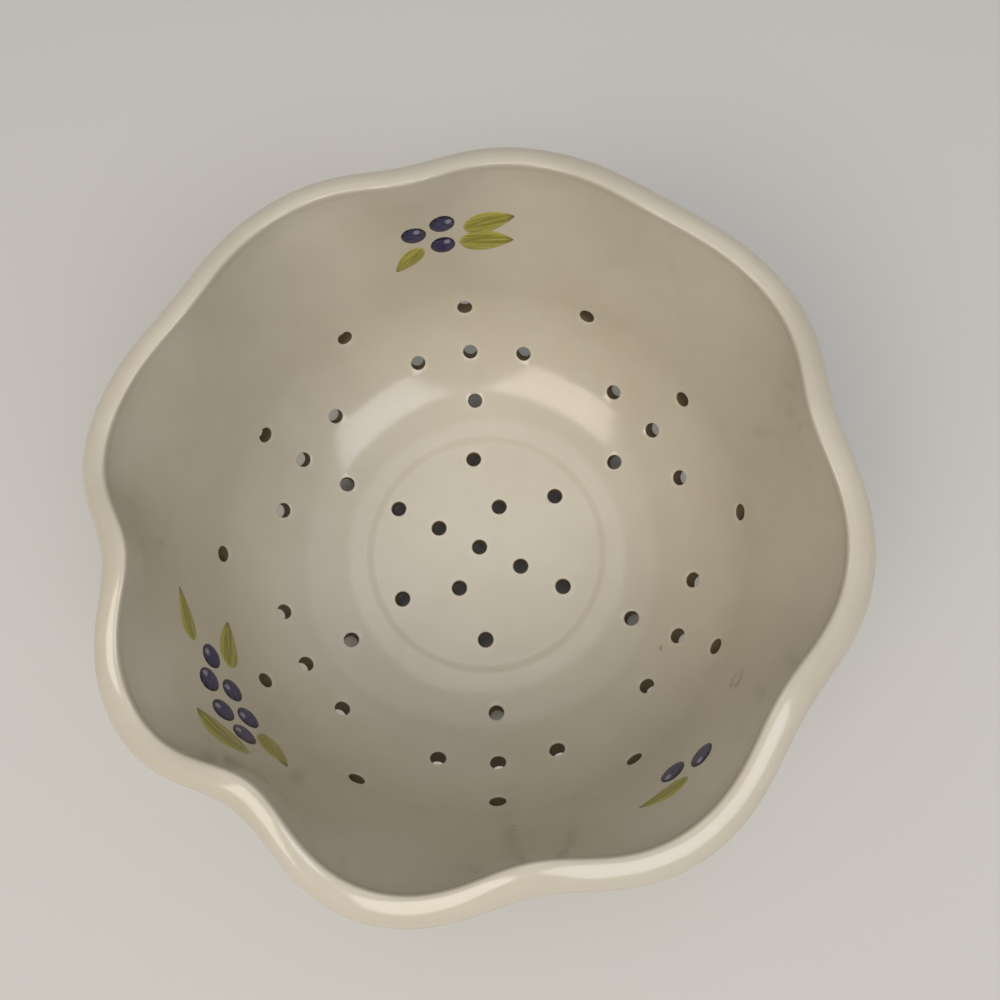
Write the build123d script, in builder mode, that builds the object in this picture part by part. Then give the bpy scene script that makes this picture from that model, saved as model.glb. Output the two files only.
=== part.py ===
"""Berry colander bowl in glazed stoneware.

A thrown bowl with a fluted wall and drain holes, a rolled lip along its wavy top, a foot ring
under its floor and three painted berry sprigs inside. Sizes are in millimetres, the foot stands
on Z = 0, Z is the bowl's axis and -Y is its front.
"""

import os
from math import asin, cos, degrees, radians, sin, tan

from build123d import *

os.makedirs("parts", exist_ok=True)

# Foot ring
FOOT_HEIGHT = 6.0
FOOT_RADIUS = 49.0
FOOT_WIDTH = 7.5
FOOT_TAPER = 1.0
FOOT_ROUND = 1.2
FOOT_MARGIN = 1.0

# Thrown wall: a round corner that leaves the flat floor level and ends in a leaning wall
WALL = 5.4
CORNER_START = 42.7
CORNER_RADIUS = 45.3
WALL_SLOPE = 78.5

# Shallow well in the floor
WELL_RADIUS = 45.9
WELL_BEVEL = 5.0
WELL_DEPTH = 0.7

# Flutes pressed into the top of the wall: crests pushed out, dips pushed in by hand
FIRST_CREST = 33.4
CREST_PRESS = 5.6
DIP_PRESS = [0.6, 5.2, 2.6, 7.9, 7.4, 4.0, 2.4, 3.4]

# Rolled lip: it sinks where the wall is pressed out and rises where it is pressed in, and the
# wall swells inwards up to it. Its section runs over the top as (outwards, up) from its centre
LIP_HEIGHT = 98.9
LIP_DROP = 0.57
LIP_SWELL = 2.7
LIP_SECTION = [
    (-5.0, 2.2),
    (-4.9, 3.8),
    (-4.45, 4.75),
    (-3.4, 5.1),
    (-1.4, 4.8),
    (0.8, 3.95),
    (2.35, 2.8),
    (3.3, 1.3),
    (3.5, -0.4),
    (2.75, -2.6),
]

# Drain holes: a cluster on the floor, a little off centre, and rings up the corner
HOLE_DIAMETER = 5.2
CLUSTER_X = -2.4
CLUSTER_Y = 1.5
CLUSTER_RADIUS = 17.0
CLUSTER_TURN = 64.4
CLUSTER_HOLES = 4
FLOOR_RING_RADIUS = 34.3
ARMS = 6
ARM_TURN = 94.1
LOW_RING_SLOPE = 20.3
MIDDLE_RING_SLOPE = 44.2
MIDDLE_SPREAD = 15.6
HIGH_RING_SLOPE = 68.0
BETWEEN_RING_SLOPE = 73.8

# Painted dabs
PAINT = 0.35
BERRY_LONG = 8.2
BERRY_SHORT = 7.2
PAINT_REACH = 14.0

# Curves that carry the bowl's skin: points round each, steps up the corner and the wall
POINTS_PER_LOBE = 6
CORNER_STEPS = 6
WALL_FRACTIONS = [0.2, 0.4, 0.6, 0.8, 0.92]

LOBES = len(DIP_PRESS)
LOBE = 360 / LOBES
TURNS = [LOBE * step / POINTS_PER_LOBE for step in range(LOBES * POINTS_PER_LOBE)]
FLOOR_EDGE = FOOT_HEIGHT + WALL
CORNER_CENTRE = FLOOR_EDGE + CORNER_RADIUS
FLUTE_START = CORNER_CENTRE - CORNER_RADIUS * cos(radians(WALL_SLOPE))
WALL_TOP = LIP_HEIGHT + LIP_DROP * max(DIP_PRESS) + 2 * WALL


def press(turn):
    """How far the wall is pushed out, or in, at an angle round the bowl."""
    lobe, part = divmod((turn - FIRST_CREST) % 360, LOBE)
    travel = CREST_PRESS + DIP_PRESS[int(lobe) % LOBES]
    return CREST_PRESS - travel * (1 - cos(radians(360 * part / LOBE))) / 2


def flute(turn, height):
    """Push of the flutes at a height: none where the wall starts, full at the lip."""
    rise = max(height - FLUTE_START, 0) / (LIP_HEIGHT - FLUTE_START)
    return press(turn) * rise**2


def wall_radius(turn, height, offset):
    """Radius of the leaning wall at an offset outwards from its inside face."""
    slope = radians(WALL_SLOPE)
    radius = CORNER_RADIUS + offset
    above = height - (CORNER_CENTRE - radius * cos(slope))
    return CORNER_START + radius * sin(slope) + above / tan(slope) + flute(turn, height)


def lip_height(turn):
    """Height of the lip's centre."""
    return LIP_HEIGHT - LIP_DROP * press(turn)


def lip_radius(turn):
    """Radius of the lip's centre, in the middle of the wall."""
    return wall_radius(turn, lip_height(turn), WALL / 2)


def closed_curve(places):
    """Smooth closed curve through one (radius, height) place for each turn."""
    points = []
    for turn, (radius, height) in zip(TURNS, places):
        points.append((radius * cos(radians(turn)), radius * sin(radians(turn)), height))
    # Even parameters keep the curves alike, so that the skin through them stays light
    even = [step / len(TURNS) for step in range(len(TURNS) + 1)]
    return Wire([Edge.make_spline(points, periodic=True, parameters=even)])


def round_curve(radius, height):
    """Level circle of the thrown part."""
    return closed_curve([(radius, height) for turn in TURNS])


def corner_curves(offset):
    """Circles up the round corner, at an offset outwards from the inside face."""
    first = degrees(asin((WELL_RADIUS - CORNER_START) / CORNER_RADIUS))
    radius = CORNER_RADIUS + offset
    curves = []
    for step in range(CORNER_STEPS + 1):
        slope = radians(first + (WALL_SLOPE - first) * step / CORNER_STEPS)
        curves.append(
            round_curve(CORNER_START + radius * sin(slope), CORNER_CENTRE - radius * cos(slope))
        )
    return curves


def wall_curves(offset, swell):
    """Curves up the fluted wall, ever wavier towards the lip, moved inwards as it swells."""
    curves = []
    for fraction in WALL_FRACTIONS:
        face = offset - swell * fraction**2
        heights = [FLUTE_START + fraction * (lip_height(turn) - FLUTE_START) for turn in TURNS]
        curves.append(closed_curve([(wall_radius(t, h, face), h) for t, h in zip(TURNS, heights)]))
    return curves


def lip_curves():
    """Curves over the rolled lip, from its inside to its outside."""
    curves = []
    for out, up in LIP_SECTION:
        curves.append(closed_curve([(lip_radius(t) + out, lip_height(t) + up) for t in TURNS]))
    return curves


def inside_solid(offset):
    """Space inside the bowl, grown outwards by an offset and closed level above the lip."""
    face = offset - LIP_SWELL
    top = closed_curve([(wall_radius(turn, WALL_TOP, face), WALL_TOP) for turn in TURNS])
    return Solid.make_loft(corner_curves(offset) + wall_curves(offset, LIP_SWELL) + [top])


def bore(turn, slope):
    """Plane of a drain hole, square to the round corner."""
    out = Vector(cos(radians(turn)), sin(radians(turn)), 0)
    along = out * sin(radians(slope)) - Vector(0, 0, cos(radians(slope)))
    centre = out * CORNER_START + Vector(0, 0, CORNER_CENTRE)
    return Plane(origin=centre + along * (CORNER_RADIUS + WALL / 2), z_dir=along)


def sprig_plane(turn, height):
    """Plane on the inside of the wall, X to the right and Y up for someone looking at it."""
    out = Vector(cos(radians(turn)), sin(radians(turn)), 0)
    right = Vector(sin(radians(turn)), -cos(radians(turn)), 0)
    inward = Vector(0, 0, cos(radians(WALL_SLOPE))) - out * sin(radians(WALL_SLOPE))
    origin = out * wall_radius(turn, height, 0) + Vector(0, 0, height)
    return Plane(origin=origin, x_dir=right, z_dir=inward)


def berries(places):
    """Oval dabs at (x, y, turn) in the current sketch."""
    for x, y, turn in places:
        with Locations(Location((x, y), turn)):
            Ellipse(BERRY_LONG / 2, BERRY_SHORT / 2)


def leaves(strokes):
    """Pointed dabs in the current sketch, each from a base to a tip with a width."""
    for base, tip, width in strokes:
        along = Vector(*tip) - Vector(*base)
        middle = (Vector(*tip) + Vector(*base)) / 2
        side = Vector(-along.Y, along.X).normalized() * (width / 2)
        with BuildLine() as stroke:
            ThreePointArc(base, middle + side, tip)
            ThreePointArc(tip, middle - side, base)
        make_face(stroke.edges())


# Bowl: one skin up the inside, over the rolled lip and down the outside, then drilled
with BuildPart() as bowl:
    well = round_curve(WELL_RADIUS - WELL_BEVEL, FLOOR_EDGE - WELL_DEPTH)
    inside = corner_curves(0) + wall_curves(0, LIP_SWELL)
    outside = corner_curves(WALL)[1:] + wall_curves(WALL, 0)
    underside = round_curve(FOOT_RADIUS + FOOT_MARGIN, FOOT_HEIGHT)
    add(Solid.make_loft([well] + inside + lip_curves() + outside[::-1] + [underside]))
    with Locations((CLUSTER_X, CLUSTER_Y, FOOT_HEIGHT)):
        Cylinder(HOLE_DIAMETER / 2, 3 * WALL, mode=Mode.SUBTRACT)
        with PolarLocations(CLUSTER_RADIUS, CLUSTER_HOLES, CLUSTER_TURN):
            Cylinder(HOLE_DIAMETER / 2, 3 * WALL, mode=Mode.SUBTRACT)
        with PolarLocations(FLOOR_RING_RADIUS, ARMS, ARM_TURN):
            Cylinder(HOLE_DIAMETER / 2, 3 * WALL, mode=Mode.SUBTRACT)
    bores = []
    for arm in range(ARMS):
        turn = ARM_TURN + 360 * arm / ARMS
        bores.append(bore(turn, LOW_RING_SLOPE))
        for spread in (-MIDDLE_SPREAD, 0, MIDDLE_SPREAD):
            bores.append(bore(turn + spread, MIDDLE_RING_SLOPE))
        bores.append(bore(turn, HIGH_RING_SLOPE))
        bores.append(bore(turn + 180 / ARMS, BETWEEN_RING_SLOPE))
    with Locations(*bores):
        Cylinder(HOLE_DIAMETER / 2, 3 * WALL, mode=Mode.SUBTRACT)

# Foot ring, stuck to the flat underside of the bowl
with BuildPart() as foot_ring:
    with BuildSketch(Plane.XZ):
        with BuildLine():
            Polyline(
                (FOOT_RADIUS, FOOT_HEIGHT),
                (FOOT_RADIUS - FOOT_WIDTH, FOOT_HEIGHT),
                (FOOT_RADIUS - FOOT_WIDTH + FOOT_TAPER, 0),
                (FOOT_RADIUS - FOOT_TAPER, 0),
                close=True,
            )
        make_face()
    revolve(axis=Axis.Z)
    fillet(foot_ring.edges().group_by(Axis.Z)[0], FOOT_ROUND)

# Sprigs: three berries at the back, six on the left and two on the right
BACK_SPRIG = sprig_plane(98, 78)
BACK_BERRIES = [(-6, 2, 20), (3.5, 5, -15), (2.5, -5.5, 10)]
BACK_LEAVES = [((9.5, 0.5), (27, 3.5), 6.5), ((7.5, -5.5), (26, -6.5), 7), ((-4, -5), (-15, -15), 5)]
LEFT_SPRIG = sprig_plane(216, 65)
LEFT_BERRIES = [(14, -4, 10), (7, 2, -20), (2, -6, 15), (-3.5, 4, 0), (-8, -4.5, 20), (-13, 4, -10)]
LEFT_LEAVES = [
    ((19, 2), (35, 5), 5),
    ((9, -11), (25, -20), 6.5),
    ((-20, 13), (0, 14), 7),
    ((-14, -5), (-28, 1), 7),
]
RIGHT_SPRIG = sprig_plane(310, 73)
RIGHT_BERRIES = [(-4.5, 3, 15), (4, -3, -10)]
RIGHT_LEAVES = [((2, 6), (18, 3), 4.5)]

# Limits of the paint: its free face inside the bowl, and the middle of the wall behind it
paint_face = inside_solid(-PAINT)
mid_wall = inside_solid(WALL / 2)


def paint_sprig(name, drawing, plane, places):
    """One colour of a sprig: thin dabs that lie on the inside of the wall."""
    with BuildPart() as dabs:
        with BuildSketch(plane):
            drawing(places)
        extrude(amount=PAINT_REACH, both=True)
        add(mid_wall, mode=Mode.INTERSECT)
        add(paint_face, mode=Mode.SUBTRACT)
        add(bowl.part, mode=Mode.SUBTRACT)
    dabs.part.label = name
    export_step(dabs.part, f"parts/{name}.step")


paint_sprig("back_berries", berries, BACK_SPRIG, BACK_BERRIES)
paint_sprig("back_leaves", leaves, BACK_SPRIG, BACK_LEAVES)
paint_sprig("left_berries", berries, LEFT_SPRIG, LEFT_BERRIES)
paint_sprig("left_leaves", leaves, LEFT_SPRIG, LEFT_LEAVES)
paint_sprig("right_berries", berries, RIGHT_SPRIG, RIGHT_BERRIES)
paint_sprig("right_leaves", leaves, RIGHT_SPRIG, RIGHT_LEAVES)

bowl.part.label = "bowl"
foot_ring.part.label = "foot_ring"
export_step(bowl.part, "parts/bowl.step")
export_step(foot_ring.part, "parts/foot_ring.step")
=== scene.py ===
"""Berry colander bowl: the visible model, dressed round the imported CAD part.

A fluted stoneware bowl with drain holes, a foot ring and three painted berry sprigs. Lengths are in
metres, in the frame of the CAD part. The file is laid out as an add-on and is run as a script.
"""

import random
from math import asin, cos, pi, radians, sin, tan

import bpy
import numpy as np
from mathutils import Matrix, Vector


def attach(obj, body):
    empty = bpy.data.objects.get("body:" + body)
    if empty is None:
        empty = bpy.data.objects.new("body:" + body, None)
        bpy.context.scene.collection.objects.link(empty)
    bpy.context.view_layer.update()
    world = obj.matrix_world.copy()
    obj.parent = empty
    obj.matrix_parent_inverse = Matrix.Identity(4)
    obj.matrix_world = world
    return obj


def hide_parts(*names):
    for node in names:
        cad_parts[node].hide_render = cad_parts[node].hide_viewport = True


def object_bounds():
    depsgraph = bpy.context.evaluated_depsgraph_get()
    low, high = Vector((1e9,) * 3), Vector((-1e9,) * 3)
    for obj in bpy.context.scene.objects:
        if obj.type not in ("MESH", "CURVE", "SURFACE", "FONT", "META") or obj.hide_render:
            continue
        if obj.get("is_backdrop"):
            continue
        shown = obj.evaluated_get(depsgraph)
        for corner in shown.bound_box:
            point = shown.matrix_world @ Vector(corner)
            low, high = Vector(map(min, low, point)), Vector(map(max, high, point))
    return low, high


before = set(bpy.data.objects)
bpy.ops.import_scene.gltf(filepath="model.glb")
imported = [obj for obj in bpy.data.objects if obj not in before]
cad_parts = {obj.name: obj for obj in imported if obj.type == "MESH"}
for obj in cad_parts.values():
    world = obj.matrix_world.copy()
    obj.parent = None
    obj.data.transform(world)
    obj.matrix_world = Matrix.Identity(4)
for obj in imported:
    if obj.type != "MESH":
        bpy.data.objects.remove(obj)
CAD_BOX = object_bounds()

bl_info = {
    "name": "Berry Colander Bowl",
    "version": (1, 0, 0),
    "blender": (4, 5, 0),
    "location": "View3D > Sidebar > Colander",
    "description": "Builds a fluted stoneware colander bowl with painted berry sprigs",
    "category": "Add Mesh",
}

# Fineness of the meshes
SKIN_SEGMENTS = 320
FOOT_SEGMENTS = 160
HOLE_SEGMENTS = 36
DAB_SEGMENTS = 36
DAB_RINGS = 9
FLOOR_ROWS = 20
STEP_ROWS = 10
CORNER_ROWS = 30
WALL_ROWS = 25
LIP_STEPS = 4
OUTER_CORNER_ROWS = 28
UNDERSIDE_ROWS = 22

# Radius of the smallest ring of points, which lies inside the middle drain hole
EYE_RADIUS = 0.0012
# Share of the flutes' height at which the wall turns into the lip
WALL_TOP = 0.93
# Slope in degrees at which the outside of the round corner turns in to the foot
CORNER_END = 16.5
# Rows between the two ends of a short straight stretch
QUARTERS = (0.25, 0.5, 0.75)
# Steps in degrees round the soft edge of a drain hole, and how far its cutter reaches past it
EDGE_TURNS = (0, 18, 36, 54, 72)
CUTTER_REACH = 0.004
# Distances from a drain hole's middle between which the glaze thins and the clay is laid bare
THIN_GLAZE = (0.0055, 0.004)
# Inside that, the clay's brown is painted darker, as painted shade in the hole
BARE_CLAY_AND_SHADE = (0.0039, 0.0035)
# A dab of paint: its smallest ring, the fall of its top to the edge, the power by which it falls,
# the sink of its underside and the longest way to the wall in metres
DAB_EYE = 0.06
DAB_FALL = 1.3
DAB_BEND = 6
DAB_SINK = -0.8
RAY_LENGTH = 0.1
# A leaf's place of full width along its length, and the width and two bends of its outline
LEAF_MIDDLE = 0.46
LEAF_SHAPE = (1.35, 0.55, 0.9)

# Section of the rolled lip from its inside to its outside, as (outwards, up) from its centre in
# millimetres
LIP_SECTION = [
    (-5.0, 2.2),
    (-5.0, 3.9),
    (-4.85, 4.6),
    (-4.4, 4.98),
    (-3.4, 5.1),
    (-1.4, 4.8),
    (0.8, 3.95),
    (2.35, 2.8),
    (3.3, 1.3),
    (3.5, -0.4),
    (2.75, -2.6),
]

# Sprigs: the angle round the bowl and the height of each, its berries at (x, y, turn in degrees)
# and its leaves from a base to a tip with a width, all in millimetres on the wall
SPRIGS = {
    "back": {
        "turn": 98,
        "height": 78,
        "berries": [(-6, 2, 20), (3.5, 5, -15), (2.5, -5.5, 10)],
        "leaves": [
            ((9.5, 0.5), (27, 3.5), 6.5),
            ((7.5, -5.5), (26, -6.5), 7),
            ((-4, -5), (-15, -15), 5),
        ],
    },
    "left": {
        "turn": 216,
        "height": 65,
        "berries": [
            (14, -4, 10),
            (7, 2, -20),
            (2, -6, 15),
            (-3.5, 4, 0),
            (-8, -4.5, 20),
            (-13, 4, -10),
        ],
        "leaves": [
            ((19, 2), (35, 5), 5),
            ((9, -11), (25, -20), 6.5),
            ((-20, 13), (0, 14), 7),
            ((-14, -5), (-28, 1), 7),
        ],
    },
    "right": {
        "turn": 310,
        "height": 73,
        "berries": [(-4.5, 3, 15), (4, -3, -10)],
        "leaves": [((2, 6), (18, 3), 4.5)],
    },
}
# The thin paint runs a little wider than a leaf's drawn width
LEAF_SPREAD = 1.35
TONE_SEED = 11
# Faint rubbed marks on the wall: place and reach in millimetres
MARKS = [((9.4, -89.4, 62.8), 7), ((76.6, -48.2, 65.7), 6), ((61.5, -36.5, 21.7), 1.5)]

# Studio: half the floor's width, the even light and the lamps, each with its place and width in
# metres, its power in watts and its tint. The two windows make the highlights, and the panel lights
# up the flat of the floor so that its soft step shows.
FLOOR_REACH = 3
WORLD_TINT = "#E9E8E6"
WORLD_STRENGTH = 0.23
LAMPS = [
    ("left_window", (-0.62, -0.75, 1.20), 0.8, 9.4, "#FFF4E6"),
    ("right_window", (0.62, -0.70, 1.20), 0.8, 7.4, "#FAFAFF"),
    ("top_softbox", (0.0, 0.3, 2.2), 4.0, 28.5, "#FBFBFF"),
    ("ceiling_panel", (-0.15, 0.39, 2.1), 0.75, 2.1, "#FBFBFF"),
]


def linear(code):
    """Linear RGBA of an sRGB hex colour."""
    parts = [int(code[start:start + 2], 16) / 255 for start in (1, 3, 5)]
    bent = [p / 12.92 if p <= 0.04045 else ((p + 0.055) / 1.055) ** 2.4 for p in parts]
    return (*bent, 1.0)


def length(name, description, millimetres):
    """Size property, written in millimetres and held in metres."""
    return bpy.props.FloatProperty(
        name=name, description=description, default=millimetres / 1000, unit="LENGTH", precision=5
    )


def angle(name, description, turn):
    """Angle property, written in degrees and held in radians."""
    return bpy.props.FloatProperty(
        name=name, description=description, default=radians(turn), subtype="ANGLE"
    )


def colour(name, description, code):
    """Colour property, written as an sRGB hex value."""
    return bpy.props.FloatVectorProperty(
        name=name, description=description, default=linear(code), size=4, subtype="COLOR"
    )


class BowlSizes(bpy.types.PropertyGroup):
    """Sizes of the thrown, pressed and drilled bowl and of its foot."""

    foot_height: length("Foot height", "Height of the foot ring", 6)
    foot_radius: length("Foot radius", "Outside radius of the foot ring at its top", 49)
    foot_width: length("Foot width", "Width of the foot ring at its top", 7.5)
    foot_taper: length("Foot taper", "How far each side of the foot leans in", 1)
    foot_round: length("Foot round", "Rounding of the foot's lower edges", 1.2)
    foot_margin: length("Foot margin", "Flat underside left outside the foot ring", 1)
    wall: length("Wall", "Thickness of the wall", 5.4)
    corner_start: length("Corner start", "Radius of the centre of the round corner", 42.7)
    corner_radius: length("Corner radius", "Radius of the round corner, inside", 45.3)
    wall_slope: angle("Wall slope", "Lean of the wall above the corner", 78.5)
    well_radius: length("Well radius", "Outer radius of the soft step round the floor", 45.9)
    well_bevel: length("Well bevel", "Width of the soft step", 5)
    well_depth: length("Well depth", "Depth of the floor below the step", 0.7)
    lip_height: length("Lip height", "Height of the lip's centre where nothing is pressed", 98.9)
    lip_swell: length("Lip swell", "How far the wall swells inwards up to the lip", 2.7)
    lip_drop: bpy.props.FloatProperty(
        name="Lip drop",
        description="Sink of the lip for each length of outward press",
        default=0.57,
    )
    first_crest: angle("First crest", "Turn of the first crest of the wavy wall", 33.4)
    crest_press: length("Crest press", "Outward press at each crest", 5.6)
    dip_press: bpy.props.FloatVectorProperty(
        name="Dip press",
        description="Inward press at each dip, by hand and so uneven",
        default=[d / 1000 for d in (0.6, 5.2, 2.6, 7.9, 7.4, 4.0, 2.4, 3.4)],
        size=8,
        unit="LENGTH",
        precision=5,
    )
    hole_diameter: length("Hole diameter", "Diameter of a drain hole", 5.2)
    hole_round: length("Hole round", "Rounding that the glaze gives a hole's edge", 0.45)
    cluster_x: length("Cluster X", "Middle of the floor's holes, across", -2.4)
    cluster_y: length("Cluster Y", "Middle of the floor's holes, front to back", 1.5)
    cluster_radius: length("Cluster radius", "Radius of the four inner holes", 17)
    floor_ring_radius: length("Floor ring radius", "Radius of the six outer floor holes", 34.3)
    cluster_turn: angle("Cluster turn", "Turn of the first inner hole", 64.4)
    arm_turn: angle("Arm turn", "Turn of the first row of holes up the wall", 94.1)
    low_slope: angle("Low ring", "Slope of the corner at the low ring of holes", 20.3)
    middle_slope: angle("Middle ring", "Slope of the corner at the triple holes", 44.2)
    middle_spread: angle("Middle spread", "Turn between the triple holes", 15.6)
    high_slope: angle("High ring", "Slope of the corner at the high holes", 68)
    between_slope: angle("Between ring", "Slope of the corner at the holes between rows", 73.8)


class SprigSizes(bpy.types.PropertyGroup):
    """Sizes of the painted dabs."""

    paint: length("Paint", "Thickness of a dab of paint", 0.3)
    berry_long: length("Berry length", "Longer width of a berry", 8.5)
    berry_short: length("Berry width", "Shorter width of a berry", 8.2)
    reach: length("Reach", "How far a dab is moved to meet the wall", 20)


class BowlColours(bpy.types.PropertyGroup):
    """Colours of the glaze, the clay and the paint."""

    glaze: colour("Glaze", "Warm white of the glaze", "#C2BBAA")
    glaze_thick: colour("Thick glaze", "Glaze where it pooled thicker", "#BDB5A3")
    glaze_thin: colour("Thin glaze", "Glaze where it ran thin, on edges", "#CBC6B8")
    # The bore's brown is clay darkened with painted shade, standing in for the shade inside a hole
    bore: colour("Bore", "Clay that shows through the thin glaze in a hole", "#63543A")
    clay: colour("Clay", "Bare fired clay of the resting face", "#B9A78C")
    stain: colour("Stain", "Faint wear marks in the glaze", "#979079")
    berry: colour("Berry", "Indigo paint of the berries", "#170F49")
    berry_deep: colour("Deep berry", "Edge of a berry, where the paint pooled", "#0A0717")
    berry_light: colour("Berry light", "Light touch on a berry", "#9A96AE")
    leaf: colour("Leaf", "Olive green paint of the leaves", "#7F7A2A")
    leaf_deep: colour("Deep leaf", "Last of the paint at the leaves' tips", "#4C4718")
    leaf_light: colour("Leaf light", "Thin streaks in a leaf", "#A8A34E")
    leaf_edge: colour("Leaf edge", "Thin paint round a leaf", "#B0A868")
    floor: colour("Floor", "Pale studio floor", "#C6C4BF")


class StageSizes(bpy.types.PropertyGroup):
    """Place, aim and lens of the studio's camera."""

    lens: bpy.props.FloatProperty(
        name="Lens", description="Focal length on a 36 mm sensor", default=28.8, unit="CAMERA"
    )
    camera_x: length("Camera X", "Place of the camera, across", 20.4)
    camera_y: length("Camera Y", "Place of the camera, front to back", -52.9)
    camera_z: length("Camera Z", "Height of the camera", 304.4)
    tilt: angle("Tilt", "Turn of the camera up from straight down", 13.81)
    roll: angle("Roll", "Lean of the camera to the right", 2.95)


def add(tree, kind, links=None, **settings):
    """Adds a node with its settings; links gives an input a value or another node's output."""
    node = tree.nodes.new(kind)
    for key, value in settings.items():
        setattr(node, key, value)
    for key, value in (links or {}).items():
        if isinstance(value, bpy.types.NodeSocket):
            tree.links.new(value, node.inputs[key])
        else:
            node.inputs[key].default_value = value
    return node


def rule_tree(name, inputs):
    """Geometry node tree with named inputs; returns the tree and its input node."""
    tree = bpy.data.node_groups.new(name, "GeometryNodeTree")
    for label, kind in [("Geometry", "Geometry"), *inputs]:
        tree.interface.new_socket(label, in_out="INPUT", socket_type="NodeSocket" + kind)
    tree.interface.new_socket("Geometry", in_out="OUTPUT", socket_type="NodeSocketGeometry")
    return tree, add(tree, "NodeGroupInput")


def close_tree(tree, geometry, material):
    """Ends a tree in plain, smooth geometry with its material."""
    real = add(tree, "GeometryNodeRealizeInstances", {"Geometry": geometry})
    smooth = add(tree, "GeometryNodeSetShadeSmooth", {"Geometry": real.outputs[0]})
    done = add(
        tree, "GeometryNodeSetMaterial", {"Geometry": smooth.outputs[0], "Material": material}
    )
    add(tree, "NodeGroupOutput", {"Geometry": done.outputs[0]})
    return tree


def plain_object(name, points, faces=(), **attributes):
    """Object at the origin with a plain mesh and its named point attributes."""
    mesh = bpy.data.meshes.new(name)
    mesh.from_pydata(np.asarray(points).tolist(), [], [list(face) for face in faces])
    for label, values in attributes.items():
        values = np.asarray(values, np.float32)
        kind, field = ("FLOAT_VECTOR", "vector") if values.ndim == 2 else ("FLOAT", "value")
        mesh.attributes.new(label, kind, "POINT").data.foreach_set(field, values.ravel())
    mesh.shade_smooth()
    return bpy.data.objects.new(name, mesh)


def shaped(obj, tree, values):
    """Runs a node tree on an object and keeps what it makes as the object's plain mesh."""
    modifier = obj.modifiers.new(tree.name, "NODES")
    modifier.node_group = tree
    for item in tree.interface.items_tree:
        if item.in_out == "INPUT" and item.name in values:
            modifier[item.identifier] = values[item.name]
    if obj.name not in bpy.context.scene.collection.objects:
        bpy.context.scene.collection.objects.link(obj)
    graph = bpy.context.evaluated_depsgraph_get()
    made = bpy.data.meshes.new_from_object(
        obj.evaluated_get(graph), preserve_all_data_layers=True, depsgraph=graph
    )
    obj.modifiers.clear()
    old = obj.data
    obj.data = made
    bpy.data.meshes.remove(old)
    made.name = obj.name
    if not made.polygons:
        raise RuntimeError(f"{obj.name} came out empty")
    return obj


def helper_linked(obj):
    """Links an object that only feeds a node tree."""
    bpy.context.scene.collection.objects.link(obj)
    return obj


def ring_faces(rings, segments):
    """Quads between closed rings of points, each ring listed one after the other."""
    index = np.arange(rings * segments).reshape(rings, segments)
    near = index[:-1]
    far = index[1:]
    quads = np.stack([near, far, np.roll(far, -1, 1), np.roll(near, -1, 1)], -1)
    return quads.reshape(-1, 4).tolist()


def closed_faces(rings, segments):
    """Faces of closed rings, with the first and the last ring filled in."""
    count = rings * segments
    faces = ring_faces(rings, segments)
    faces.append(list(range(segments)))
    faces.append(list(range(count - 1, count - segments - 1, -1)))
    return faces


def turns_round(segments):
    """Angles of a ring's points."""
    return np.arange(segments) * 2 * pi / segments


def corner_centre(sizes):
    """Height of the centre of the round corner."""
    return sizes.foot_height + sizes.wall + sizes.corner_radius


def flute_start(sizes):
    """Height where the round corner ends and the flutes begin."""
    return corner_centre(sizes) - sizes.corner_radius * cos(sizes.wall_slope)


def corner_place(sizes, slope, offset):
    """Radius and height on the round corner, at an offset outwards from its inside face."""
    radius = sizes.corner_radius + offset
    return sizes.corner_start + radius * sin(slope), corner_centre(sizes) - radius * cos(slope)


def wall_radius(sizes, height, offset):
    """Radius of the leaning wall before it is pressed."""
    radius, level = corner_place(sizes, sizes.wall_slope, offset)
    return radius + (height - level) / tan(sizes.wall_slope)


def press(sizes, turn):
    """Push of the hand at an angle round the bowl: out at a crest, in at a dip."""
    lobes = len(sizes.dip_press)
    lobe, part = divmod((turn - sizes.first_crest) % (2 * pi), 2 * pi / lobes)
    travel = sizes.crest_press + sizes.dip_press[int(lobe) % lobes]
    return sizes.crest_press - travel * (1 - cos(part * lobes)) / 2


def smooth_path(points, steps):
    """Places along a smooth curve through all the points, with some steps between each two."""
    ends = np.vstack([2 * points[0] - points[1], points, 2 * points[-1] - points[-2]])
    places = []
    for before, near, far, after in zip(ends, ends[1:], ends[2:], ends[3:]):
        for t in np.arange(steps) / steps:
            bend = (2 * before - 5 * near + 4 * far - after) * t
            bend = bend + (3 * (near - far) + after - before) * t**2
            places.append(near + (far - before + bend) * t / 2)
    return [*places, points[-1]]


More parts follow.
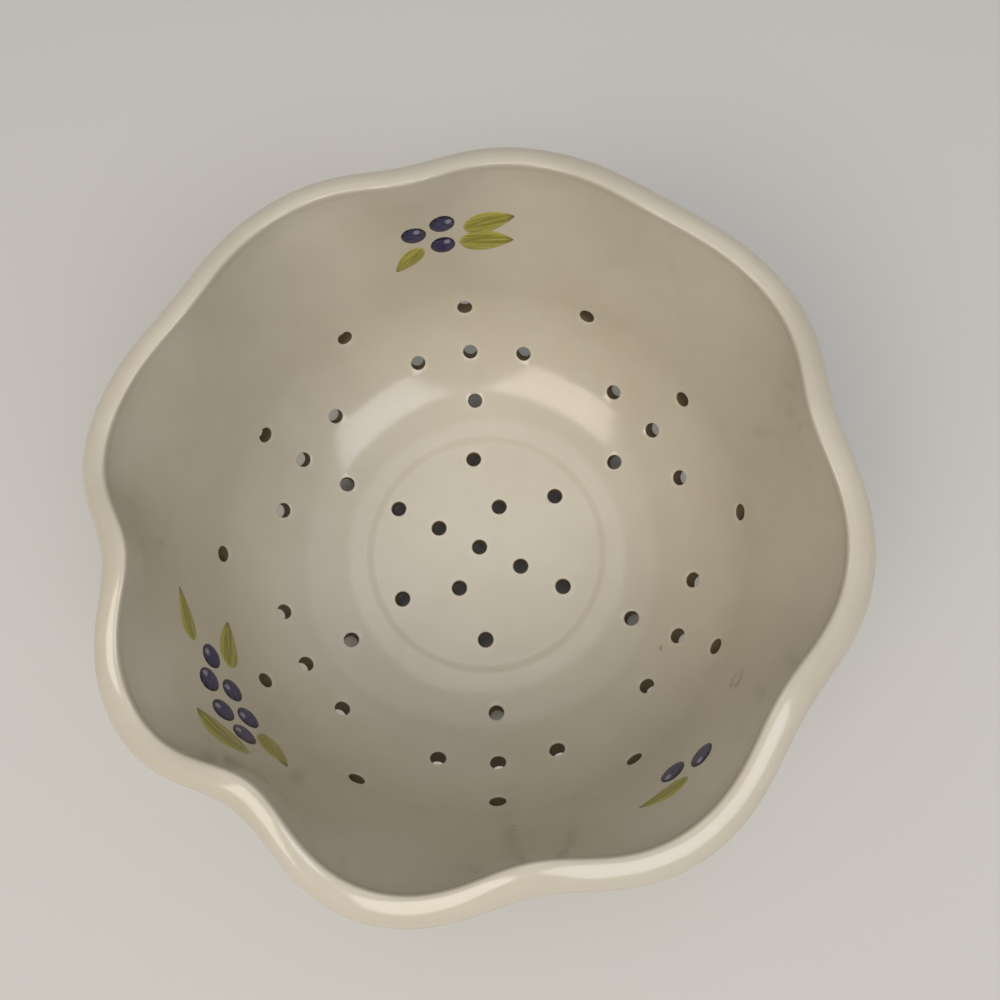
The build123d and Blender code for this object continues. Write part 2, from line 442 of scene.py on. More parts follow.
def skin_rows(sizes):
    """Rows of the unpressed skin as (radius, height, share of the press, drift to the cluster).

    They run from the floor's middle up the inside, over the lip, down the outside and back in
    under the floor. The drift centres the flat rows on the middle drain hole, which cuts away the
    small rings there.
    """
    first = asin((sizes.well_radius - sizes.corner_start) / sizes.corner_radius)
    level = sizes.foot_height + sizes.wall - sizes.well_depth
    inner = sizes.well_radius - sizes.well_bevel
    edge = corner_place(sizes, first, 0)[1]
    rows = []
    for radius in np.linspace(EYE_RADIUS, inner, FLOOR_ROWS, endpoint=False):
        rows.append((radius, level, 0, 1 - (radius / inner) ** 2))
    for part in np.linspace(0, 1, STEP_ROWS, endpoint=False):
        ease = part * part * (3 - 2 * part)
        rows.append((inner + part * sizes.well_bevel, level + (edge - level) * ease, 0, 0))
    for slope in np.linspace(first, sizes.wall_slope, CORNER_ROWS, endpoint=False):
        rows.append((*corner_place(sizes, slope, 0), 0, 0))
    start = flute_start(sizes)
    shares = np.linspace(0, WALL_TOP, WALL_ROWS)
    heights = start + shares * (sizes.lip_height - start)
    for share, height in zip(shares, heights):
        rows.append((wall_radius(sizes, height, -sizes.lip_swell * share**2), height, share, 0))
    middle = wall_radius(sizes, sizes.lip_height, sizes.wall / 2)
    for out, up in smooth_path(np.array(LIP_SECTION) / 1000, LIP_STEPS):
        rows.append((middle + out, sizes.lip_height + up, 1, 0))
    for share, height in zip(shares[::-1], heights[::-1]):
        rows.append((wall_radius(sizes, height, sizes.wall), height, share, 0))
    last = radians(CORNER_END)
    for slope in np.linspace(sizes.wall_slope, last, OUTER_CORNER_ROWS)[1:]:
        rows.append((*corner_place(sizes, slope, sizes.wall), 0, 0))
    outer = sizes.foot_radius + sizes.foot_margin
    radius, height = corner_place(sizes, last, sizes.wall)
    for part in QUARTERS:
        down = height + (sizes.foot_height - height) * part
        rows.append((radius + (outer - radius) * part, down, 0, 0))
    for radius in np.linspace(outer, EYE_RADIUS, UNDERSIDE_ROWS):
        rows.append((radius, sizes.foot_height, 0, 1 - (radius / outer) ** 2))
    return np.array(rows)


def thrown_skin(sizes):
    """Closed skin of the bowl before it is pressed, with what each point needs for the press."""
    rows = skin_rows(sizes)
    radius, height, share, drift = (column[:, None] for column in rows.T)
    turns = turns_round(SKIN_SEGMENTS)
    level = np.zeros(SKIN_SEGMENTS)
    points = np.stack(
        [
            radius * np.cos(turns) + drift * sizes.cluster_x,
            radius * np.sin(turns) + drift * sizes.cluster_y,
            height + level,
        ],
        -1,
    ).reshape(-1, 3)
    pushes = np.array([press(sizes, turn) for turn in turns])
    return plain_object(
        "glazed_bowl",
        points,
        closed_faces(len(rows), SKIN_SEGMENTS),
        share=(share + level).ravel(),
        press=np.tile(pushes, len(rows)),
    )


def flutes_tree():
    """Presses the flutes: each point moves out by its press, and sinks as the lip does."""
    tree, given = rule_tree(
        "wall_flutes",
        [
            ("Lip drop", "Float"),
            ("Flute rise", "Float"),
            ("Lean", "Float"),
            ("Glaze", "Material"),
        ],
    )
    share = add(tree, "GeometryNodeInputNamedAttribute", {"Name": "share"}).outputs["Attribute"]
    push = add(tree, "GeometryNodeInputNamedAttribute", {"Name": "press"}).outputs["Attribute"]
    maths = "ShaderNodeMath"
    drop = given.outputs["Lip drop"]
    rise = given.outputs["Flute rise"]
    sink = add(tree, maths, {0: push, 1: drop}, operation="MULTIPLY").outputs[0]
    down = add(tree, maths, {0: sink, 1: share}, operation="MULTIPLY").outputs[0]
    lost = add(tree, maths, {0: sink, 1: rise}, operation="DIVIDE").outputs[0]
    kept = add(tree, maths, {0: 1.0, 1: lost}, operation="SUBTRACT").outputs[0]
    part = add(tree, maths, {0: share, 1: kept}, operation="MULTIPLY").outputs[0]
    bow = add(tree, maths, {0: part, 1: 2.0}, operation="POWER").outputs[0]
    out = add(tree, maths, {0: push, 1: bow}, operation="MULTIPLY").outputs[0]
    slid = add(tree, maths, {0: down, 1: given.outputs["Lean"]}, operation="DIVIDE").outputs[0]
    moved = add(tree, maths, {0: out, 1: slid}, operation="SUBTRACT").outputs[0]
    place = add(tree, "GeometryNodeInputPosition").outputs[0]
    vector = "ShaderNodeVectorMath"
    flat = add(tree, vector, {0: place, 1: (1, 1, 0)}, operation="MULTIPLY").outputs[0]
    outward = add(tree, vector, {0: flat}, operation="NORMALIZE").outputs[0]
    sideways = add(tree, vector, {0: outward, "Scale": moved}, operation="SCALE").outputs[0]
    fall = add(tree, vector, {0: (0, 0, -1), "Scale": down}, operation="SCALE").outputs[0]
    offset = add(tree, vector, {0: sideways, 1: fall}, operation="ADD").outputs[0]
    pressed = add(
        tree, "GeometryNodeSetPosition", {"Geometry": given.outputs["Geometry"], "Offset": offset}
    )
    return close_tree(tree, pressed.outputs[0], given.outputs["Glaze"])


def hole_places(sizes):
    """Middle, outward axis and share of the wall's thickness for every drain hole."""
    floor = sizes.foot_height + sizes.wall - sizes.well_depth
    middle = (floor + sizes.foot_height) / 2
    thin = (floor - sizes.foot_height) / sizes.wall
    spots = [(0, 0)]
    spots += [(sizes.cluster_radius, sizes.cluster_turn + pi / 2 * step) for step in range(4)]
    arms = [sizes.arm_turn + pi / 3 * step for step in range(6)]
    spots += [(sizes.floor_ring_radius, turn) for turn in arms]
    places = []
    for radius, turn in spots:
        spot = (sizes.cluster_x + radius * cos(turn), sizes.cluster_y + radius * sin(turn), middle)
        places.append((spot, (0, 0, -1), thin))
    bores = []
    for turn in arms:
        bores.append((turn, sizes.low_slope))
        bores += [(turn + side * sizes.middle_spread, sizes.middle_slope) for side in (-1, 0, 1)]
        bores += [(turn, sizes.high_slope), (turn + pi / 6, sizes.between_slope)]
    for turn, slope in bores:
        radius, height = corner_place(sizes, slope, sizes.wall / 2)
        axis = (cos(turn) * sin(slope), sin(turn) * sin(slope), -cos(slope))
        places.append(((radius * cos(turn), radius * sin(turn), height), axis, 1))
    return places


def hole_cutter(sizes):
    """Spool that cuts one drain hole and leaves its edges soft, as the glaze does."""
    bore = sizes.hole_diameter / 2
    soft = sizes.hole_round
    half = []
    for turn in EDGE_TURNS:
        across = bore + soft * (1 - cos(radians(turn)))
        half.append((across, sizes.wall / 2 - soft + soft * sin(radians(turn))))
    across, along = half[-1]
    lean = radians(EDGE_TURNS[-1])
    half.append((across + CUTTER_REACH * sin(lean), along + CUTTER_REACH * cos(lean)))
    rows = [(across, -along) for across, along in half[::-1]] + half
    points = []
    for across, along in rows:
        for turn in turns_round(HOLE_SEGMENTS):
            points.append((across * cos(turn), across * sin(turn), along))
    faces = [face[::-1] for face in closed_faces(len(rows), HOLE_SEGMENTS)]
    return plain_object("hole_cutter", points, faces)


def holes_tree():
    """Drills the bowl: one cutter on each point, turned along its axis, taken from the skin."""
    tree, given = rule_tree(
        "drain_holes", [("Holes", "Object"), ("Cutter", "Object"), ("Glaze", "Material")]
    )
    spots = add(tree, "GeometryNodeObjectInfo", {"Object": given.outputs["Holes"]})
    cutter = add(tree, "GeometryNodeObjectInfo", {"Object": given.outputs["Cutter"]})
    axis = add(
        tree, "GeometryNodeInputNamedAttribute", {"Name": "axis"}, data_type="FLOAT_VECTOR"
    ).outputs["Attribute"]
    depth = add(
        tree, "GeometryNodeInputNamedAttribute", {"Name": "depth"}, data_type="FLOAT_VECTOR"
    ).outputs["Attribute"]
    aim = add(tree, "FunctionNodeAlignRotationToVector", {"Vector": axis}, axis="Z").outputs[0]
    cutters = add(
        tree,
        "GeometryNodeInstanceOnPoints",
        {
            "Points": spots.outputs["Geometry"],
            "Instance": cutter.outputs["Geometry"],
            "Rotation": aim,
            "Scale": depth,
        },
    )
    solid = add(tree, "GeometryNodeRealizeInstances", {"Geometry": cutters.outputs[0]})
    drilled = add(tree, "GeometryNodeMeshBoolean", operation="DIFFERENCE", solver="MANIFOLD")
    tree.links.new(given.outputs["Geometry"], drilled.inputs["Mesh 1"])
    tree.links.new(solid.outputs[0], drilled.inputs["Mesh 2"])
    near = add(
        tree,
        "GeometryNodeProximity",
        {"Geometry": spots.outputs["Geometry"]},
        target_element="POINTS",
    )
    kept = add(
        tree,
        "GeometryNodeStoreNamedAttribute",
        {"Geometry": drilled.outputs["Mesh"], "Name": "drain", "Value": near.outputs["Distance"]},
        data_type="FLOAT",
        domain="POINT",
    )
    return close_tree(tree, kept.outputs[0], given.outputs["Glaze"])


def sprig_frame(sizes, sprig):
    """Matrix of a sprig's plane on the wall: X right, Y up and Z inwards as one looks at it."""
    turn = radians(sprig["turn"])
    height = sprig["height"] / 1000
    lean = sizes.wall_slope
    out = Vector((cos(turn), sin(turn), 0))
    right = Vector((sin(turn), -cos(turn), 0))
    inward = Vector((0, 0, cos(lean))) - out * sin(lean)
    up = inward.cross(right)
    rise = (height - flute_start(sizes)) / (sizes.lip_height - flute_start(sizes))
    radius = wall_radius(sizes, height, 0) + press(sizes, turn) * rise**2
    turned = Matrix((right, up, inward)).transposed().to_4x4()
    return Matrix.Translation(out * radius + Vector((0, 0, height))) @ turned


def berry_outline(turn, ring):
    """Place on a round dab of unit radius."""
    return ring * cos(turn), ring * sin(turn)


def leaf_outline(turn, ring):
    """Place on a stroke from its base at 0 to its tip at 1, fuller towards the base."""
    width, blunt, sharp = LEAF_SHAPE
    along = 0.5 - 0.5 * cos(turn)
    half = width * along**blunt * (1 - along) ** sharp
    side = half if sin(turn) >= 0 else -half
    return LEAF_MIDDLE + (along - LEAF_MIDDLE) * ring, -side * ring


def paint_dab(name, outline):
    """Flat dab of paint: each point's height goes with it as its lift, from -1 to 1, and its place
    in the dab goes with it for the brush marks."""
    rings = np.linspace(DAB_EYE, 1, DAB_RINGS)
    rows = [(ring, 1 - DAB_FALL * ring**DAB_BEND) for ring in rings]
    rows += [(ring, DAB_SINK) for ring in rings[::-1]]
    points = []
    dabs = []
    lifts = []
    for ring, lift in rows:
        for turn in turns_round(DAB_SEGMENTS):
            place = outline(turn, ring)
            points.append((*place, 0))
            dabs.append((*place, ring))
            lifts.append(lift)
    faces = closed_faces(len(rows), DAB_SEGMENTS)
    return plain_object(name, points, faces, dab=dabs, lift=lifts)


def dabs_tree():
    """Lays one dab on each point and moves it along the sprig's axis until it lies on the wall."""
    tree, given = rule_tree(
        "painted_dabs",
        [
            ("Dab", "Object"),
            ("Wall", "Object"),
            ("Inward", "Vector"),
            ("Reach", "Float"),
            ("Paint", "Float"),
            ("Colour", "Material"),
        ],
    )
    dab = add(tree, "GeometryNodeObjectInfo", {"Object": given.outputs["Dab"]})
    wall = add(tree, "GeometryNodeObjectInfo", {"Object": given.outputs["Wall"]})
    named = "GeometryNodeInputNamedAttribute"
    turn = add(tree, named, {"Name": "turn"}, data_type="FLOAT_VECTOR").outputs["Attribute"]
    size = add(tree, named, {"Name": "size"}, data_type="FLOAT_VECTOR").outputs["Attribute"]
    lift = add(tree, named, {"Name": "lift"}).outputs["Attribute"]
    aim = add(tree, "FunctionNodeEulerToRotation", {"Euler": turn}).outputs[0]
    laid = add(
        tree,
        "GeometryNodeInstanceOnPoints",
        {
            "Points": given.outputs["Geometry"],
            "Instance": dab.outputs["Geometry"],
            "Rotation": aim,
            "Scale": size,
        },
    )
    real = add(tree, "GeometryNodeRealizeInstances", {"Geometry": laid.outputs[0]})
    vector = "ShaderNodeVectorMath"
    place = add(tree, "GeometryNodeInputPosition").outputs[0]
    inward = given.outputs["Inward"]
    reach = given.outputs["Reach"]
    back = add(tree, vector, {0: inward, "Scale": reach}, operation="SCALE").outputs[0]
    source = add(tree, vector, {0: place, 1: back}, operation="ADD").outputs[0]
    aimed = add(tree, vector, {0: inward, "Scale": -1.0}, operation="SCALE").outputs[0]
    ray = add(
        tree,
        "GeometryNodeRaycast",
        {
            "Target Geometry": wall.outputs["Geometry"],
            "Source Position": source,
            "Ray Direction": aimed,
            "Ray Length": RAY_LENGTH,
        },
    )
    thick = add(
        tree, "ShaderNodeMath", {0: lift, 1: given.outputs["Paint"]}, operation="MULTIPLY"
    ).outputs[0]
    raised = add(
        tree, vector, {0: ray.outputs["Hit Normal"], "Scale": thick}, operation="SCALE"
    ).outputs[0]
    landed = ray.outputs["Hit Position"]
    rest = add(tree, vector, {0: landed, 1: raised}, operation="ADD").outputs[0]
    lying = add(tree, "GeometryNodeSetPosition", {"Geometry": real.outputs[0], "Position": rest})
    return close_tree(tree, lying.outputs[0], given.outputs["Colour"])


def new_material(name):
    """Material with an empty principled shader; returns the material, its tree and the shader."""
    material = bpy.data.materials.new(name)
    material.use_nodes = True
    return material, material.node_tree, material.node_tree.nodes["Principled BSDF"]


def glaze_material(colours):
    """Stoneware dipped in a glossy white glaze: it is a little cloudy, runs thin and pale round the
    drain holes, is painted dark brown inside them as clay and painted shade, and its surface has
    the faint orange peel of a fired glaze."""
    material, tree, shader = new_material("glossy_stoneware_glaze")
    where = add(tree, "ShaderNodeTexCoord").outputs["Object"]
    # Cloudy tone of the dipped coat, about 50 mm across, and finer mottling of 9 mm
    cloud = add(
        tree, "ShaderNodeTexNoise", {"Vector": where, "Scale": 1000 / 50, "Detail": 3.0}
    ).outputs["Fac"]
    mottle = add(
        tree, "ShaderNodeTexNoise", {"Vector": where, "Scale": 1000 / 9, "Detail": 2.0}
    ).outputs["Fac"]
    both = add(tree, "ShaderNodeMath", {0: mottle, 1: 0.35, 2: cloud}, operation="MULTIPLY_ADD")
    pooled = add(
        tree,
        "ShaderNodeMapRange",
        {"Value": both.outputs[0], "From Min": 0.5, "From Max": 0.9},
        interpolation_type="SMOOTHSTEP",
    ).outputs[0]
    coat = add(
        tree,
        "ShaderNodeMix",
        {"Factor": pooled, "A": colours.glaze[:], "B": colours.glaze_thick[:]},
        data_type="RGBA",
    )
    # Rubbed marks, broken up into strokes about 2 mm wide
    rubbed = add(
        tree, "ShaderNodeTexNoise", {"Vector": where, "Scale": 1000 / 4, "Detail": 2.0}
    ).outputs["Fac"]
    worn = 0.0
    for place, reach in MARKS:
        spot = [part / 1000 for part in place]
        away = add(tree, "ShaderNodeVectorMath", {0: where, 1: spot}, operation="DISTANCE")
        near = add(
            tree,
            "ShaderNodeMapRange",
            {"Value": away.outputs["Value"], "From Min": reach / 1000, "From Max": 0.0},
            interpolation_type="SMOOTHSTEP",
        )
        total = add(tree, "ShaderNodeMath", {0: near.outputs[0], 1: worn}, operation="ADD")
        worn = total.outputs[0]
    strokes = add(
        tree,
        "ShaderNodeMapRange",
        {"Value": rubbed, "From Min": 0.48, "From Max": 0.6},
        interpolation_type="SMOOTHSTEP",
    ).outputs[0]
    marked = add(tree, "ShaderNodeMath", {0: worn, 1: strokes}, operation="MULTIPLY").outputs[0]
    stained = add(
        tree,
        "ShaderNodeMix",
        {"Factor": marked, "A": coat.outputs["Result"], "B": colours.stain[:]},
        data_type="RGBA",
    )
    # The glaze draws back from the edges of the drain holes within about 2 mm
    drain = add(tree, "ShaderNodeAttribute", attribute_name="drain").outputs["Fac"]
    halo = add(
        tree,
        "ShaderNodeMapRange",
        {"Value": drain, "From Min": THIN_GLAZE[0], "From Max": THIN_GLAZE[1], "To Max": 0.35},
        interpolation_type="SMOOTHSTEP",
    ).outputs[0]
    edged = add(
        tree,
        "ShaderNodeMix",
        {"Factor": halo, "A": stained.outputs["Result"], "B": colours.glaze_thin[:]},
        data_type="RGBA",
    )
    # Inside a hole hardly any glaze covers the clay, painted darker as the hole's shade
    bare = add(
        tree,
        "ShaderNodeMapRange",
        {"Value": drain, "From Min": BARE_CLAY_AND_SHADE[0], "From Max": BARE_CLAY_AND_SHADE[1]},
        interpolation_type="SMOOTHSTEP",
    ).outputs[0]
    bored_and_shaded = add(
        tree,
        "ShaderNodeMix",
        {"Factor": bare, "A": edged.outputs["Result"], "B": colours.bore[:]},
        data_type="RGBA",
    )
    tree.links.new(bored_and_shaded.outputs["Result"], shader.inputs["Base Color"])
    gloss = add(
        tree,
        "ShaderNodeMapRange",
        {"Value": cloud, "From Min": 0.3, "From Max": 0.7, "To Min": 0.10, "To Max": 0.17},
    )
    # The clay in the holes is dull
    dull = add(
        tree, "ShaderNodeMapRange", {"Value": bare, "To Min": gloss.outputs[0], "To Max": 0.85}
    )
    tree.links.new(dull.outputs[0], shader.inputs["Roughness"])
    # Orange peel, drawn 6 mm wide so that it shows in the render
    peel = add(tree, "ShaderNodeTexNoise", {"Vector": where, "Scale": 1000 / 6, "Detail": 1.0})
    bump = add(
        tree,
        "ShaderNodeBump",
        {"Height": peel.outputs["Fac"], "Strength": 0.25, "Distance": 0.0002},
    )
    tree.links.new(bump.outputs["Normal"], shader.inputs["Normal"])
    shader.inputs["IOR"].default_value = 1.5
    return material


def foot_material(colours):
    """Glazed foot ring with its resting face wiped down to the bare, grainy fired clay."""
    material, tree, shader = new_material("glazed_foot_wiped_to_clay")
    where = add(tree, "ShaderNodeTexCoord").outputs["Object"]
    height = add(tree, "ShaderNodeSeparateXYZ", {"Vector": where}).outputs["Z"]
    waver = add(tree, "ShaderNodeTexNoise", {"Vector": where, "Scale": 1000 / 8}).outputs["Fac"]
    line = add(tree, "ShaderNodeMath", {0: waver, 1: -0.0012, 2: height}, operation="MULTIPLY_ADD")
    glazed = add(
        tree,
        "ShaderNodeMapRange",
        {"Value": line.outputs[0], "From Min": 0.0004, "From Max": 0.0008},
        interpolation_type="SMOOTHSTEP",
    ).outputs[0]
    tone = add(
        tree,
        "ShaderNodeMix",
        {"Factor": glazed, "A": colours.clay[:], "B": colours.glaze[:]},
        data_type="RGBA",
    )
    tree.links.new(tone.outputs["Result"], shader.inputs["Base Color"])
    rough = add(tree, "ShaderNodeMapRange", {"Value": glazed, "To Min": 0.8, "To Max": 0.15})
    tree.links.new(rough.outputs[0], shader.inputs["Roughness"])
    grit = add(tree, "ShaderNodeTexNoise", {"Vector": where, "Scale": 1000 / 0.7})
    bump = add(
        tree, "ShaderNodeBump", {"Height": grit.outputs["Fac"], "Strength": 0.3, "Distance": 0.0002}
    )
    tree.links.new(bump.outputs["Normal"], shader.inputs["Normal"])
    return material


def berry_material(colours):
    """Indigo underglaze paint: one round push of the brush, pooled dark at the edge and left thin
    and pale where the brush lifted."""
    material, tree, shader = new_material("indigo_underglaze_paint")
    dab = add(tree, "ShaderNodeAttribute", attribute_name="dab").outputs["Vector"]
    where = add(tree, "ShaderNodeTexCoord").outputs["Object"]
    ring = add(tree, "ShaderNodeSeparateXYZ", {"Vector": dab}).outputs["Z"]
    flat = add(
        tree, "ShaderNodeVectorMath", {0: dab, 1: (1, 1, 0)}, operation="MULTIPLY"
    ).outputs[0]
    edge = add(
        tree,
        "ShaderNodeMapRange",
        {"Value": ring, "From Min": 0.55, "From Max": 0.98},
        interpolation_type="SMOOTHSTEP",
    ).outputs[0]
    # Brush marks about 0.8 mm wide, drawn out along the berry
    tone = add(tree, "ShaderNodeAttribute", attribute_name="tone").outputs["Fac"]
    turned = add(tree, "ShaderNodeMapping", {"Vector": flat, "Scale": (1.2, 5.0, 0.0)}).outputs[0]
    marks = add(
        tree,
        "ShaderNodeTexNoise",
        {"Vector": turned, "W": tone, "Scale": 1.3, "Detail": 2.0},
        noise_dimensions="4D",
    )
    body = add(
        tree,
        "ShaderNodeMix",
        {"Factor": edge, "A": colours.berry[:], "B": colours.berry_deep[:]},
        data_type="RGBA",
    )
    streak = add(
        tree,
        "ShaderNodeMapRange",
        {"Value": marks.outputs["Fac"], "From Min": 0.5, "From Max": 0.8, "To Max": 0.22},
    ).outputs[0]
    marked = add(
        tree,
        "ShaderNodeMix",
        {"Factor": streak, "A": body.outputs["Result"], "B": colours.berry_light[:]},
        data_type="RGBA",
    )
    spot = add(
        tree, "ShaderNodeVectorMath", {0: flat, 1: (0.42, 0.34, 0)}, operation="DISTANCE"
    ).outputs["Value"]
    light = add(
        tree,
        "ShaderNodeMapRange",
        {"Value": spot, "From Min": 0.34, "From Max": 0.12, "To Max": 0.75},
        interpolation_type="SMOOTHSTEP",
    ).outputs[0]
    lit = add(
        tree,
        "ShaderNodeMix",
        {"Factor": light, "A": marked.outputs["Result"], "B": colours.berry_light[:]},
        data_type="RGBA",
    )
    tree.links.new(lit.outputs["Result"], shader.inputs["Base Color"])
    peel = add(tree, "ShaderNodeTexNoise", {"Vector": where, "Scale": 1000 / 2})
    rough = add(
        tree, "ShaderNodeMapRange", {"Value": peel.outputs["Fac"], "To Min": 0.1, "To Max": 0.22}
    )
    tree.links.new(rough.outputs[0], shader.inputs["Roughness"])
    return material


def leaf_material(colours):
    """Olive underglaze paint: one pull of a loaded brush, with long streaks, a thin pale edge and
    darker paint left at the tip."""
    material, tree, shader = new_material("olive_underglaze_paint")
    dab = add(tree, "ShaderNodeAttribute", attribute_name="dab").outputs["Vector"]
    where = add(tree, "ShaderNodeTexCoord").outputs["Object"]
    parts = add(tree, "ShaderNodeSeparateXYZ", {"Vector": dab}).outputs
    tone = add(tree, "ShaderNodeAttribute", attribute_name="tone").outputs["Fac"]
    # Bristle streaks about 0.5 mm apart across the stroke
    drawn = add(tree, "ShaderNodeMapping", {"Vector": dab, "Scale": (1.6, 14.0, 0.0)}).outputs[0]
    bristles = add(
        tree,
        "ShaderNodeTexNoise",
        {"Vector": drawn, "W": tone, "Scale": 1.0, "Detail": 2.0},
        noise_dimensions="4D",
    )
    streak = add(
        tree,
        "ShaderNodeMapRange",
        {"Value": bristles.outputs["Fac"], "From Min": 0.35, "From Max": 0.7},
        interpolation_type="SMOOTHSTEP",
    ).outputs[0]
    pulled = add(
        tree,
        "ShaderNodeMix",
        {"Factor": streak, "A": colours.leaf[:], "B": colours.leaf_light[:]},
        data_type="RGBA",
    )
    # Thin paint round the stroke, then the last of it left at the tip
    thin = add(
        tree,
        "ShaderNodeMapRange",
        {"Value": parts["Z"], "From Min": 0.78, "From Max": 0.97, "To Max": 0.6},
        interpolation_type="SMOOTHSTEP",
    ).outputs[0]
    thinned = add(
        tree,
        "ShaderNodeMix",
        {"Factor": thin, "A": pulled.outputs["Result"], "B": colours.leaf_edge[:]},
        data_type="RGBA",
    )
    tip = add(
        tree,
        "ShaderNodeMapRange",
        {"Value": parts["X"], "From Min": 0.78, "From Max": 1.0, "To Max": 0.9},
        interpolation_type="SMOOTHSTEP",
    ).outputs[0]
    tipped = add(
        tree,
        "ShaderNodeMix",
        {"Factor": tip, "A": thinned.outputs["Result"], "B": colours.leaf_deep[:]},
        data_type="RGBA",
    )
    tree.links.new(tipped.outputs["Result"], shader.inputs["Base Color"])
    peel = add(tree, "ShaderNodeTexNoise", {"Vector": where, "Scale": 1000 / 2})
    rough = add(
        tree, "ShaderNodeMapRange", {"Value": peel.outputs["Fac"], "To Min": 0.1, "To Max": 0.22}
    )
    tree.links.new(rough.outputs[0], shader.inputs["Roughness"])
    return material


def floor_material(colours):
    """Pale matt studio floor."""
    material, tree, shader = new_material("matt_studio_floor")
    shader.inputs["Base Color"].default_value = colours.floor[:]
    shader.inputs["Roughness"].default_value = 0.9
    return material


def lay_dabs(scene, kind, dab, material, points_of):
    """Paints one colour of every sprig, each as a piece that replaces its CAD node."""
    helper_linked(dab)
    tree = dabs_tree()
    wall = bpy.data.objects["glazed_bowl"]
    tones = random.Random(TONE_SEED)
    for side, sprig in SPRIGS.items():
        plane = sprig_frame(scene.bowl_sizes, sprig)
        places, turns, sizes = zip(*points_of(sprig, plane))
        node = f"{side}_{kind}"
        piece = plain_object(
            f"painted_{node}",
            places,
            turn=turns,
            size=sizes,
            tone=[tones.random() for place in places],
        )
        shaped(
            piece,
            tree,
            {
                "Dab": dab,
                "Wall": wall,
                "Inward": plane.to_3x3().col[2],
                "Reach": scene.sprig_sizes.reach,
                "Paint": scene.sprig_sizes.paint,
                "Colour": material,
            },
        )
        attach(piece, "root")
        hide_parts(node)
    bpy.data.objects.remove(dab)


class COLANDER_OT_throw_bowl(bpy.types.Operator):
    """Throw the bowl, press its flutes and drill its drain holes"""

    bl_idname = "colander.throw_bowl"
    bl_label = "Throw Bowl"

    def execute(self, context):
        sizes = context.scene.bowl_sizes
        bowl = thrown_skin(sizes)
        glaze = glaze_material(context.scene.bowl_colours)
        shaped(
            bowl,
            flutes_tree(),
            {
                "Lip drop": sizes.lip_drop,
                "Flute rise": sizes.lip_height - flute_start(sizes),
                "Lean": tan(sizes.wall_slope),
                "Glaze": glaze,
            },
        )
        middles, axes, depths = zip(*hole_places(sizes))
        scales = [(1, 1, depth) for depth in depths]
        holes = helper_linked(plain_object("hole_places", middles, axis=axes, depth=scales))
        cutter = helper_linked(hole_cutter(sizes))
        shaped(bowl, holes_tree(), {"Holes": holes, "Cutter": cutter, "Glaze": glaze})
        bpy.data.objects.remove(holes)
        bpy.data.objects.remove(cutter)
        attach(bowl, "root")
        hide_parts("bowl")
        return {"FINISHED"}


class COLANDER_OT_lute_foot(bpy.types.Operator):
    """Put the foot ring under the floor"""

    bl_idname = "colander.lute_foot"
    bl_label = "Lute Foot Ring"

    def execute(self, context):
        sizes = context.scene.bowl_sizes
        soft = sizes.foot_round
        outer = sizes.foot_radius
        inner = outer - sizes.foot_width
        taper = sizes.foot_taper
        top = sizes.foot_height
        rows = [(inner, top), (outer, top)]
        rows += [(outer - taper * part, top * (1 - part)) for part in QUARTERS]
        for turn in range(0, 91, 15):
            lean = radians(turn)
            rows.append((outer - taper - soft + soft * cos(lean), soft - soft * sin(lean)))
        for turn in range(90, -1, -15):
            lean = radians(turn)
            rows.append((inner + taper + soft - soft * cos(lean), soft - soft * sin(lean)))
        rows += [(inner + taper * part, top * (1 - part)) for part in QUARTERS[::-1]]
        points = []
        for radius, height in rows:
            for turn in turns_round(FOOT_SEGMENTS):
                points.append((radius * cos(turn), radius * sin(turn), height))
        # The last ring joins the first again
        faces = np.array(ring_faces(len(rows) + 1, FOOT_SEGMENTS)) % len(points)
        foot = plain_object("glazed_foot", points, faces.tolist())
        foot.data.materials.append(foot_material(context.scene.bowl_colours))
        context.scene.collection.objects.link(foot)
        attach(foot, "root")
        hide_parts("foot_ring")
        return {"FINISHED"}


class COLANDER_OT_paint_berries(bpy.types.Operator):
    """Paint the berries of the three sprigs"""

    bl_idname = "colander.paint_berries"
    bl_label = "Paint Berries"

    def execute(self, context):
        scene = context.scene
        half = (scene.sprig_sizes.berry_long / 2, scene.sprig_sizes.berry_short / 2, 1)

        def places(sprig, plane):
            for x, y, turn in sprig["berries"]:
                spot = plane @ Vector((x / 1000, y / 1000, 0))
                turned = plane.to_3x3() @ Matrix.Rotation(radians(turn), 3, "Z")
                yield spot, turned.to_euler(), half

        dab = paint_dab("berry_dab", berry_outline)
        lay_dabs(scene, "berries", dab, berry_material(scene.bowl_colours), places)
        return {"FINISHED"}


class COLANDER_OT_paint_leaves(bpy.types.Operator):
    """Paint the leaves of the three sprigs"""

    bl_idname = "colander.paint_leaves"
    bl_label = "Paint Leaves"

    def execute(self, context):
        scene = context.scene

        def places(sprig, plane):
            for base, tip, width in sprig["leaves"]:
                along = (Vector(tip) - Vector(base)) / 1000
                turn = Vector((1, 0)).angle_signed(along) * -1
                turned = plane.to_3x3() @ Matrix.Rotation(turn, 3, "Z")
                spot = plane @ Vector((base[0] / 1000, base[1] / 1000, 0))
                yield spot, turned.to_euler(), (along.length, width * LEAF_SPREAD / 1000, 1)

        dab = paint_dab("leaf_dab", leaf_outline)
        lay_dabs(scene, "leaves", dab, leaf_material(scene.bowl_colours), places)
        return {"FINISHED"}


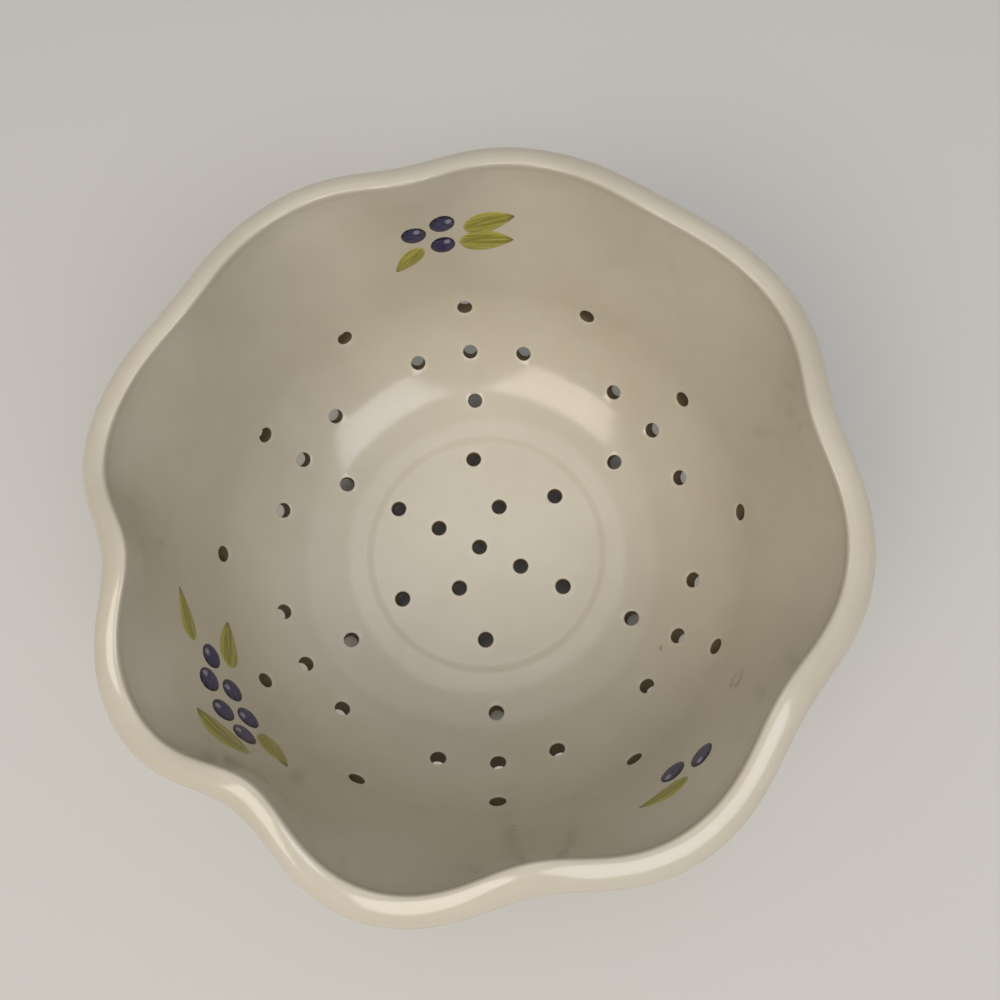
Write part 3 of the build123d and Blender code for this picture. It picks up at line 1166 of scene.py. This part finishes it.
class COLANDER_OT_set_stage(bpy.types.Operator):
    """Set the floor, the lights and the camera"""

    bl_idname = "colander.set_stage"
    bl_label = "Set Stage"

    def execute(self, context):
        scene = context.scene
        sizes = scene.stage_sizes
        sides = [(-1, -1), (1, -1), (1, 1), (-1, 1)]
        corners = [(FLOOR_REACH * x, FLOOR_REACH * y, 0) for x, y in sides]
        floor = plain_object("studio_floor", corners, [(0, 1, 2, 3)])
        floor.data.materials.append(floor_material(scene.bowl_colours))
        scene.collection.objects.link(floor)
        floor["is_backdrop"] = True
        world = bpy.data.worlds.new("studio")
        world.use_nodes = True
        sky = world.node_tree.nodes["Background"]
        sky.inputs["Color"].default_value = linear(WORLD_TINT)
        sky.inputs["Strength"].default_value = WORLD_STRENGTH
        scene.world = world
        for name, place, width, power, tint in LAMPS:
            lamp = bpy.data.lights.new(name, "AREA")
            lamp.shape = "SQUARE"
            lamp.size = width
            lamp.energy = power
            lamp.color = linear(tint)[:3]
            light = bpy.data.objects.new(name, lamp)
            light.location = place
            light.rotation_euler = (-Vector(place)).to_track_quat("-Z", "Y").to_euler()
            scene.collection.objects.link(light)
        right = Vector((cos(sizes.roll), 0, -sin(sizes.roll)))
        ahead = Vector((0, sin(sizes.tilt), -cos(sizes.tilt)))
        ahead = (ahead - right * ahead.dot(right)).normalized()
        up = right.cross(ahead)
        camera = bpy.data.objects.new("camera", bpy.data.cameras.new("camera"))
        camera.data.sensor_width = 36
        camera.data.lens = sizes.lens
        camera.data.clip_start = 0.01
        turned = Matrix((right, up, -ahead)).transposed().to_4x4()
        spot = Vector((sizes.camera_x, sizes.camera_y, sizes.camera_z))
        camera.matrix_world = Matrix.Translation(spot) @ turned
        scene.collection.objects.link(camera)
        scene.camera = camera
        scene.view_settings.view_transform = "Standard"
        return {"FINISHED"}


class COLANDER_PT_build(bpy.types.Panel):
    """Steps that build the bowl, in order"""

    bl_idname = "COLANDER_PT_build"
    bl_label = "Colander Bowl"
    bl_space_type = "VIEW_3D"
    bl_region_type = "UI"
    bl_category = "Colander"

    def draw(self, context):
        for step in STEPS:
            self.layout.operator(step.bl_idname)


STEPS = (
    COLANDER_OT_throw_bowl,
    COLANDER_OT_lute_foot,
    COLANDER_OT_paint_berries,
    COLANDER_OT_paint_leaves,
    COLANDER_OT_set_stage,
)
SETTINGS = {
    "bowl_sizes": BowlSizes,
    "sprig_sizes": SprigSizes,
    "bowl_colours": BowlColours,
    "stage_sizes": StageSizes,
}


def register():
    for kind in (*SETTINGS.values(), *STEPS, COLANDER_PT_build):
        bpy.utils.register_class(kind)
    for name, kind in SETTINGS.items():
        setattr(bpy.types.Scene, name, bpy.props.PointerProperty(type=kind))


def unregister():
    for name in SETTINGS:
        delattr(bpy.types.Scene, name)
    for kind in (COLANDER_PT_build, *reversed(STEPS), *reversed(SETTINGS.values())):
        bpy.utils.unregister_class(kind)


def main():
    register()
    for step in STEPS:
        group, name = step.bl_idname.split(".")
        getattr(getattr(bpy.ops, group), name)()
    boxes = {"cad": CAD_BOX, "visual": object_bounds()}
    {key: [list(corner) for corner in box] for key, box in boxes.items()}


if __name__ == "__main__":
    main()
